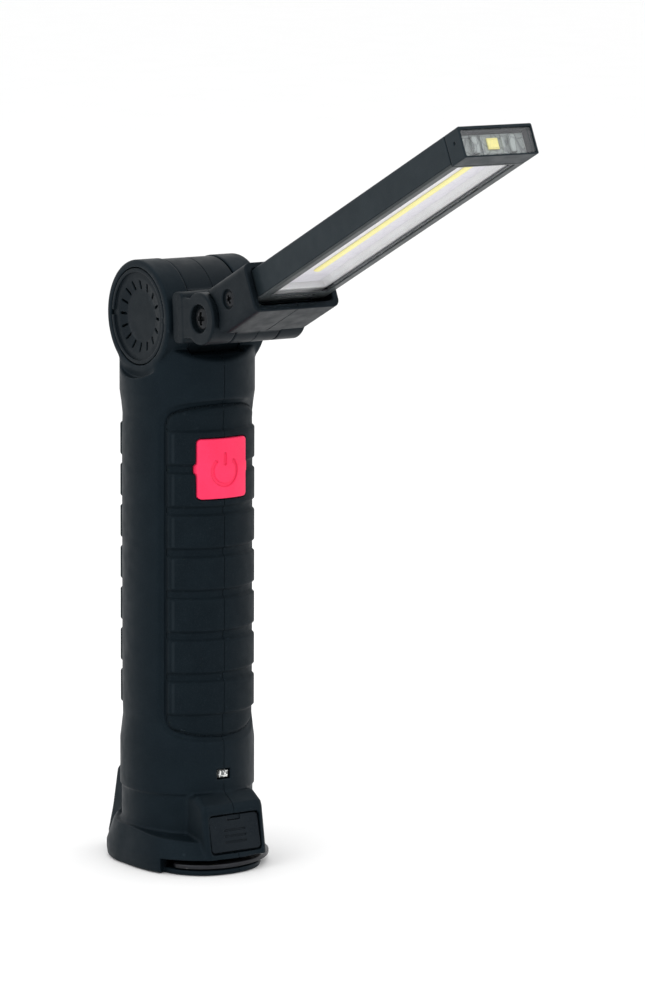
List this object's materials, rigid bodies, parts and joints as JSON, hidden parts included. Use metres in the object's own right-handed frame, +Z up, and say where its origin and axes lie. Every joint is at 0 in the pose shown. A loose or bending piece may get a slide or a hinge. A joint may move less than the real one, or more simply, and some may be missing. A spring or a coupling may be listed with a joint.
{
  "type": "work light",
  "caption": "Folding rechargeable inspection lamp: round gripped handle with a magnetic base and swing-out hook, and a slim light bar on a two-hinge arm.",
  "frame": {"origin": "centre of the magnet's lower face, on the handle's axis", "axes": "+Z up the handle, -Y to the front (power button and charging port), X along both hinge axes"},
  "size_m": [0.0537, 0.2183, 0.2732],
  "materials": {
    "soft_touch_shell": "soft-touch, almost black with a blue-green tint",
    "grip_rubber": "moulded rubber, matte",
    "arm_plastic": "fine-grained moulded plastic, dark grey",
    "bar_plastic": "fine-grained satin, dark grey",
    "bezel_plastic": "satin grey",
    "red_silicone": "translucent coral-red silicone, satin",
    "port_rubber": "textured black rubber with a slight gloss",
    "hook_steel": "black coating worn bright at the tip",
    "black_screw": "black oxide",
    "zinc_steel": "zinc plated",
    "magnet_nickel": "nickel plated",
    "nylon_washer": "natural nylon",
    "green_board": "solder mask",
    "switch_plastic": "moulded black",
    "cell_can": "shrink sleeve over a cell",
    "clear_lens": "clear moulded polycarbonate",
    "silver_reflector": "metallised plastic",
    "white_board": "white solder mask with a pale lilac tint",
    "yellow_phosphor": "yellow phosphor gel"
  },
  "bodies": {
    "handle_body": {"handle_shell_left": "soft_touch_shell", "handle_shell_right": "soft_touch_shell", "front_grip_left": "grip_rubber", "front_grip_right": "grip_rubber", "rear_grip_left": "grip_rubber", "rear_grip_right": "grip_rubber", "barrel_cap_left": "arm_plastic", "barrel_cap_right": "arm_plastic", "fold_bolt": "zinc_steel", "fold_nut": "zinc_steel", "fold_washer_left": "nylon_washer", "fold_washer_right": "nylon_washer", "main_circuit_board": "green_board", "button_switch": "switch_plastic", "battery_cell": "cell_can", "charge_circuit_board": "green_board", "usb_socket": "zinc_steel", "charge_indicator": "clear_lens", "shell_screw_upper": "black_screw", "shell_screw_lower": "black_screw", "shell_screw_rear": "black_screw", "base_magnet": "magnet_nickel", "magnet_cup": "zinc_steel", "hook_pivot_pin": "zinc_steel"},
    "arm_body": {"arm_left_half": "arm_plastic", "arm_right_half": "arm_plastic", "tilt_screw": "black_screw", "tilt_nut": "zinc_steel", "arm_screw": "black_screw", "tilt_washer_left": "nylon_washer", "tilt_washer_right": "nylon_washer"},
    "head_body": {"socket_left": "arm_plastic", "socket_right": "arm_plastic", "socket_screw_left": "black_screw", "socket_screw_right": "black_screw", "lamp_body": "bar_plastic", "lens_bezel": "bezel_plastic", "cob_lens": "clear_lens", "head_end_cap": "bar_plastic", "reflector_tray": "silver_reflector", "cob_board": "white_board", "cob_strip": "yellow_phosphor", "torch_lens": "clear_lens", "torch_board": "white_board", "torch_led": "yellow_phosphor"},
    "button_body": {"power_button": "red_silicone"},
    "cover_body": {"usb_cover": "port_rubber"},
    "hook_body": {"swing_hook": "hook_steel"}
  },
  "joints": [
    {"name": "arm_fold", "type": "hinge", "parent": "handle_body", "child": "arm_body", "pos_m": [0, 0, 0.19517], "axis": [-1, 0, 0], "range_deg": [-10, 182]},
    {"name": "head_tilt", "type": "hinge", "parent": "arm_body", "child": "head_body", "pos_m": [0, -0.03721, 0.1978], "axis": [-1, 0, 0], "range_deg": [-95, 62]},
    {"name": "button_press", "type": "slide", "parent": "handle_body", "child": "button_body", "axis": [0, 1, 0], "range_m": [0, 0.0008], "stiffness_N_per_m": 2500},
    {"name": "cover_open", "type": "hinge", "parent": "handle_body", "child": "cover_body", "pos_m": [0, -0.03158, 0.0077], "axis": [1, 0, 0], "range_deg": [0, 65]},
    {"name": "hook_swing", "type": "hinge", "parent": "handle_body", "child": "hook_body", "pos_m": [0.0205, -0.006, 0.00315], "axis": [0, 0, 1], "range_deg": [0, 120]}
  ]
}
